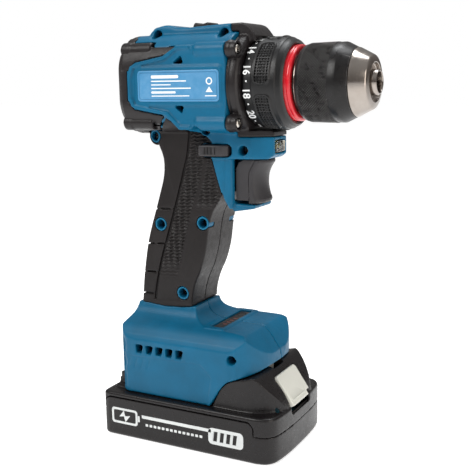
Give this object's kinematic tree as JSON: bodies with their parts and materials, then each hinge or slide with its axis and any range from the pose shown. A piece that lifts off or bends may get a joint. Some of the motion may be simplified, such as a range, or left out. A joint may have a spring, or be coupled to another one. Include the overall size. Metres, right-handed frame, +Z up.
{
  "type": "cordless drill",
  "caption": "Pistol-grip cordless drill-driver with keyless chuck, torque collar, trigger, forward and reverse lever and a slide-on battery pack.",
  "frame": {"origin": "centre of the battery pack's underside, on the surface the drill stands on", "axes": "+X along the spindle towards the chuck, +Y towards the tool's left side, +Z up"},
  "size_m": [0.1615, 0.076, 0.2484],
  "materials": {
    "blue_housing": "satin moulded plastic",
    "black_plastic": "fine textured moulding",
    "grip_rubber": "ribbed soft overmould",
    "label_blue": "printed plate",
    "accent_red": "gloss",
    "chuck_steel": "turned and polished",
    "gear_steel": "machined",
    "dark_steel": "black oxide",
    "control_grey": "matte",
    "white_plastic": "satin",
    "lens_clear": "clear",
    "copper": "enamelled winding and lamination",
    "board_green": "solder mask",
    "cell_wrap": "shrink wrap"
  },
  "bodies": {
    "housing": {"right_housing": "blue_housing", "left_housing": "blue_housing", "right_grip": "grip_rubber", "left_grip": "grip_rubber", "rear_cover": "black_plastic", "rear_screw_1": "dark_steel", "rear_screw_2": "dark_steel", "rear_screw_3": "dark_steel", "rear_screw_4": "dark_steel", "gearbox_case": "black_plastic", "gearbox_screw_1": "gear_steel", "gearbox_screw_2": "gear_steel", "gearbox_screw_3": "gear_steel", "gearbox_screw_4": "gear_steel", "clamshell_screw_1": "dark_steel", "clamshell_screw_2": "dark_steel", "clamshell_screw_3": "dark_steel", "clamshell_screw_4": "dark_steel", "clamshell_screw_5": "dark_steel", "clamshell_screw_6": "dark_steel", "clamshell_screw_7": "dark_steel", "clamshell_screw_8": "dark_steel", "clamshell_screw_9": "dark_steel", "right_label_plate": "label_blue", "left_label_plate": "label_blue", "accent_ring": "accent_red", "ring_gear": "dark_steel", "clutch_spring": "gear_steel", "stator": "copper", "rear_bearing": "gear_steel", "switch_module": "black_plastic", "controller_board": "board_green", "work_light": "lens_clear", "indicator_panel": "black_plastic", "terminal_block": "black_plastic"},
    "spindle": {"output_spindle": "gear_steel", "chuck_body": "chuck_steel"},
    "sleeve": {"chuck_sleeve": "black_plastic", "chuck_nut": "dark_steel"},
    "jaw_1": {"chuck_jaw_1": "gear_steel"},
    "jaw_2": {"chuck_jaw_2": "gear_steel"},
    "jaw_3": {"chuck_jaw_3": "gear_steel"},
    "collar": {"torque_collar": "black_plastic"},
    "motor_rotor": {"rotor": "dark_steel", "fan": "black_plastic"},
    "carrier": {"first_carrier": "gear_steel"},
    "selector": {"gear_selector": "black_plastic"},
    "trigger": {"trigger": "control_grey"},
    "lever": {"direction_lever": "control_grey"},
    "battery": {"battery_upper_case": "black_plastic", "battery_lower_case": "black_plastic", "battery_cell_pack": "cell_wrap", "battery_button_spring": "gear_steel"},
    "battery_button": {"battery_release_button": "white_plastic"},
    "first_planet_1": {"first_planet_1": "gear_steel"},
    "first_planet_2": {"first_planet_2": "gear_steel"},
    "first_planet_3": {"first_planet_3": "gear_steel"},
    "second_planet_1": {"second_planet_1": "gear_steel"},
    "second_planet_2": {"second_planet_2": "gear_steel"},
    "second_planet_3": {"second_planet_3": "gear_steel"}
  },
  "joints": [
    {"name": "chuck_spin", "type": "hinge", "parent": "housing", "child": "spindle", "pos_m": [0, 0, 0.2135], "axis": [1, 0, 0], "continuous": true},
    {"name": "sleeve_turn", "type": "hinge", "parent": "spindle", "child": "sleeve", "pos_m": [0, 0, 0.2135], "axis": [1, 0, 0], "range_deg": [0, 1080]},
    {"name": "jaw_1_slide", "type": "slide", "parent": "spindle", "child": "jaw_1", "axis": [0.9659, 0, -0.2588], "range_m": [0, 0.0185]},
    {"name": "jaw_2_slide", "type": "slide", "parent": "spindle", "child": "jaw_2", "axis": [0.9659, 0.2241, 0.1294], "range_m": [0, 0.0185]},
    {"name": "jaw_3_slide", "type": "slide", "parent": "spindle", "child": "jaw_3", "axis": [0.9659, -0.2241, 0.1294], "range_m": [0, 0.0185]},
    {"name": "collar_turn", "type": "hinge", "parent": "housing", "child": "collar", "pos_m": [0, 0, 0.2135], "axis": [1, 0, 0], "range_deg": [-150, 165]},
    {"name": "rotor_spin", "type": "hinge", "parent": "housing", "child": "motor_rotor", "pos_m": [0, 0, 0.2135], "axis": [1, 0, 0], "continuous": true},
    {"name": "carrier_spin", "type": "hinge", "parent": "housing", "child": "carrier", "pos_m": [0, 0, 0.2135], "axis": [1, 0, 0], "continuous": true},
    {"name": "first_planet_1_spin", "type": "hinge", "parent": "carrier", "child": "first_planet_1", "pos_m": [0, 0.01069, 0.2135], "axis": [1, 0, 0], "continuous": true},
    {"name": "first_planet_2_spin", "type": "hinge", "parent": "carrier", "child": "first_planet_2", "pos_m": [0, -0.00535, 0.22276], "axis": [1, 0, 0], "continuous": true},
    {"name": "first_planet_3_spin", "type": "hinge", "parent": "carrier", "child": "first_planet_3", "pos_m": [0, -0.00535, 0.20424], "axis": [1, 0, 0], "continuous": true},
    {"name": "second_planet_1_spin", "type": "hinge", "parent": "spindle", "child": "second_planet_1", "pos_m": [0, 0.01069, 0.2135], "axis": [1, 0, 0], "continuous": true},
    {"name": "second_planet_2_spin", "type": "hinge", "parent": "spindle", "child": "second_planet_2", "pos_m": [0, -0.00535, 0.22276], "axis": [1, 0, 0], "continuous": true},
    {"name": "second_planet_3_spin", "type": "hinge", "parent": "spindle", "child": "second_planet_3", "pos_m": [0, -0.00535, 0.20424], "axis": [1, 0, 0], "continuous": true},
    {"name": "gear_selector_slide", "type": "slide", "parent": "housing", "child": "selector", "axis": [1, 0, 0], "range_m": [-0.007, 0]},
    {"name": "trigger_pull", "type": "slide", "parent": "housing", "child": "trigger", "axis": [-1, 0, 0], "range_m": [0, 0.0055], "stiffness_N_per_m": 1500, "springref_m": -0.003},
    {"name": "direction_lever_push", "type": "slide", "parent": "housing", "child": "lever", "axis": [0, 1, 0], "range_m": [-0.003, 0.003]},
    {"name": "battery_slide", "type": "slide", "parent": "housing", "child": "battery", "axis": [1, 0, 0], "range_m": [0, 0.11]},
    {"name": "battery_button_press", "type": "slide", "parent": "battery", "child": "battery_button", "axis": [0, 0, -1], "range_m": [0, 0.004], "stiffness_N_per_m": 1200, "springref_m": -0.003, "deforming": ["battery_button_spring"]}
  ],
  "couplings": [
    {"joint": "jaw_1_slide", "follows": "sleeve_turn", "m_per_rad": 0.00098146},
    {"joint": "jaw_2_slide", "follows": "sleeve_turn", "m_per_rad": 0.00098146},
    {"joint": "jaw_3_slide", "follows": "sleeve_turn", "m_per_rad": 0.00098146},
    {"joint": "carrier_spin", "follows": "chuck_spin", "ratio": 4.6667},
    {"joint": "rotor_spin", "follows": "chuck_spin", "ratio": 21.778},
    {"joint": "first_planet_1_spin", "follows": "chuck_spin", "ratio": -12.833},
    {"joint": "first_planet_2_spin", "follows": "chuck_spin", "ratio": -12.833},
    {"joint": "first_planet_3_spin", "follows": "chuck_spin", "ratio": -12.833},
    {"joint": "second_planet_1_spin", "follows": "chuck_spin", "ratio": -2.75},
    {"joint": "second_planet_2_spin", "follows": "chuck_spin", "ratio": -2.75},
    {"joint": "second_planet_3_spin", "follows": "chuck_spin", "ratio": -2.75}
  ]
}
